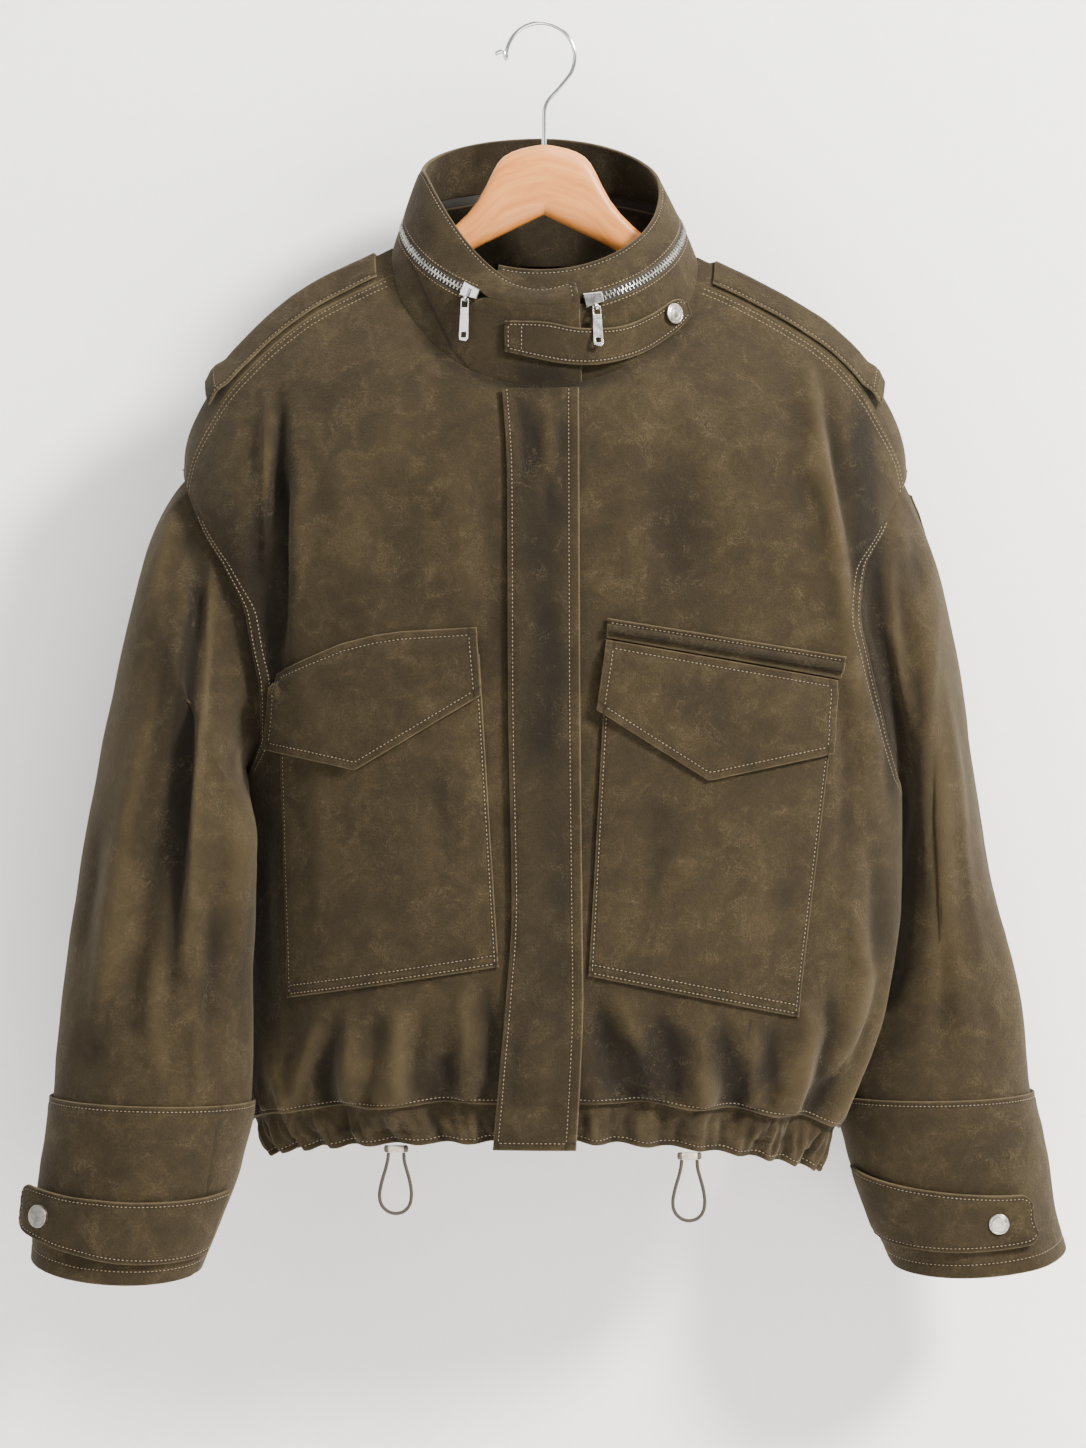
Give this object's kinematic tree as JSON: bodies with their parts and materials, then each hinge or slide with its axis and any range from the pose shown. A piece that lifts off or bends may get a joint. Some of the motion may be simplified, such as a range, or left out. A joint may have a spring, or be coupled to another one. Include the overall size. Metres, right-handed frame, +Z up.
{
  "type": "suede jacket on a wooden hanger",
  "caption": "Short boxy suede jacket with a zipped funnel collar, a collar strap, flap pockets and a drawcord hem, hanging on a wooden hanger with a wire hook.",
  "frame": {"origin": "the inner crest of the hanger's hook, where it hangs on a peg or rail", "axes": "+Z up; +X towards the wearer's left, on the right in a front view; the jacket's front faces -Y"},
  "size_m": [0.7294, 0.1964, 0.8784],
  "materials": {
    "suede": "napped, matt",
    "metal": "bright nickel",
    "zip": "zip teeth on a dark tape",
    "wood": "satin lacquer",
    "cord": "round elastic cord",
    "stop": "bone colour with dark ends"
  },
  "bodies": {
    "jacket": {"front_right": "suede", "front_left": "suede", "back": "suede", "shoulder_patch_right": "suede", "shoulder_patch_left": "suede", "hem_channel_right": "suede", "hem_channel_left": "suede", "hem_channel_back": "suede", "pocket_right": "suede", "pocket_left": "suede", "flap_right": "suede", "flap_left": "suede", "pocket_band_left": "suede", "placket": "suede", "sleeve_right": "suede", "sleeve_left": "suede", "sleeve_band_right": "suede", "sleeve_band_left": "suede", "cuff_strap_right": "suede", "cuff_strap_left": "suede", "collar_stand": "suede", "collar_fall": "suede", "zip_chain": "zip", "collar_strap": "suede", "cuff_snap_right": "metal", "cuff_snap_left": "metal", "collar_snap": "metal", "slider_right": "metal", "slider_left": "metal", "hanger_wood": "wood", "hanger_hook": "metal", "cord_stop_right": "stop", "cord_stop_left": "stop", "cord_loop_right": "cord", "cord_loop_left": "cord"},
    "right_pull_tab": {"pull_tab_right": "metal"},
    "left_pull_tab": {"pull_tab_left": "metal"}
  },
  "joints": [
    {"name": "right_pull_tab_swing", "type": "hinge", "parent": "jacket", "child": "right_pull_tab", "pos_m": [-0.05148, -0.0709, -0.19904], "axis": [-0.9288, 0.3707, 0], "range_deg": [0, 140]},
    {"name": "left_pull_tab_swing", "type": "hinge", "parent": "jacket", "child": "left_pull_tab", "pos_m": [0.03832, -0.07233, -0.20444], "axis": [-0.9877, -0.1567, 0], "range_deg": [0, 140]}
  ]
}
